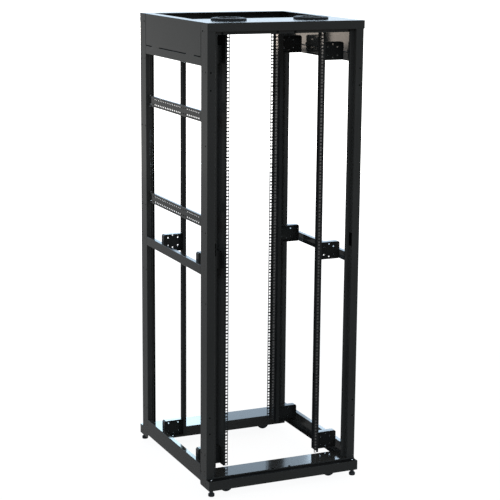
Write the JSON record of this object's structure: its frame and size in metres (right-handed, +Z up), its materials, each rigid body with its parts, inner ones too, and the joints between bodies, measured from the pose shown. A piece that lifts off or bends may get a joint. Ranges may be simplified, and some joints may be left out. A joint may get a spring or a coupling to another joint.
{
  "type": "four post open frame equipment rack",
  "caption": "Open frame four post equipment rack with square holed rails, slotted side braces, cable lacing bars, a half roof with round covers, levelling feet and swivel casters",
  "frame": {"origin": "centre of the footprint, on the floor", "axes": "+X right, +Y to the rear, +Z up; the front with the door ledge faces -Y"},
  "size_m": [0.768, 0.914, 2.163],
  "materials": {
    "frame_black": "black powder coat, satin",
    "rail_black": "black powder coat, satin",
    "bracket_black": "black powder coat, satin",
    "port_cover_plastic": "matte black moulded plastic",
    "foot_black": "black coated steel, slightly worn",
    "caster_steel": "dark coated pressed steel",
    "wheel_plastic": "black nylon tread, dull"
  },
  "bodies": {
    "root": {"front_left_post": "frame_black", "front_right_post": "frame_black", "rear_left_post": "frame_black", "rear_right_post": "frame_black", "front_header": "frame_black", "rear_header": "frame_black", "front_base_beam": "frame_black", "rear_base_beam": "frame_black", "left_upper_side_brace": "frame_black", "left_middle_side_brace": "frame_black", "left_lower_side_beam": "frame_black", "left_front_rail": "rail_black", "left_rear_rail": "rail_black", "left_front_rail_brackets": "bracket_black", "left_rear_rail_brackets": "bracket_black", "right_upper_side_brace": "frame_black", "right_middle_side_brace": "frame_black", "right_lower_side_beam": "frame_black", "right_front_rail": "rail_black", "right_rear_rail": "rail_black", "right_front_rail_brackets": "bracket_black", "right_rear_rail_brackets": "bracket_black", "lower_lacing_bar": "frame_black", "upper_lacing_bar": "frame_black", "top_plate": "frame_black", "port_covers": "port_cover_plastic", "levelling_feet": "frame_black", "caster_plates": "caster_steel"},
    "front_left_swivel": {"front_left_caster_fork": "caster_steel"},
    "front_left_wheel": {"front_left_caster_wheel": "wheel_plastic"},
    "front_right_swivel": {"front_right_caster_fork": "caster_steel"},
    "front_right_wheel": {"front_right_caster_wheel": "wheel_plastic"},
    "rear_left_swivel": {"rear_left_caster_fork": "caster_steel"},
    "rear_left_wheel": {"rear_left_caster_wheel": "wheel_plastic"},
    "rear_right_swivel": {"rear_right_caster_fork": "caster_steel"},
    "rear_right_wheel": {"rear_right_caster_wheel": "wheel_plastic"}
  },
  "joints": [
    {"name": "front_left_swivel_turn", "type": "hinge", "parent": "root", "child": "front_left_swivel", "pos_m": [-0.29, -0.3787, 0.0715], "axis": [0, 0, 1], "continuous": true},
    {"name": "front_left_wheel_roll", "type": "hinge", "parent": "front_left_swivel", "child": "front_left_wheel", "pos_m": [-0.265, -0.3787, 0.03175], "axis": [0, 1, 0], "continuous": true},
    {"name": "front_right_swivel_turn", "type": "hinge", "parent": "root", "child": "front_right_swivel", "pos_m": [0.29, -0.3787, 0.0715], "axis": [0, 0, 1], "continuous": true},
    {"name": "front_right_wheel_roll", "type": "hinge", "parent": "front_right_swivel", "child": "front_right_wheel", "pos_m": [0.265, -0.3787, 0.03175], "axis": [0, 1, 0], "continuous": true},
    {"name": "rear_left_swivel_turn", "type": "hinge", "parent": "root", "child": "rear_left_swivel", "pos_m": [-0.29, 0.3787, 0.0715], "axis": [0, 0, 1], "continuous": true},
    {"name": "rear_left_wheel_roll", "type": "hinge", "parent": "rear_left_swivel", "child": "rear_left_wheel", "pos_m": [-0.265, 0.3787, 0.03175], "axis": [0, 1, 0], "continuous": true},
    {"name": "rear_right_swivel_turn", "type": "hinge", "parent": "root", "child": "rear_right_swivel", "pos_m": [0.29, 0.3787, 0.0715], "axis": [0, 0, 1], "continuous": true},
    {"name": "rear_right_wheel_roll", "type": "hinge", "parent": "rear_right_swivel", "child": "rear_right_wheel", "pos_m": [0.265, 0.3787, 0.03175], "axis": [0, 1, 0], "continuous": true}
  ]
}
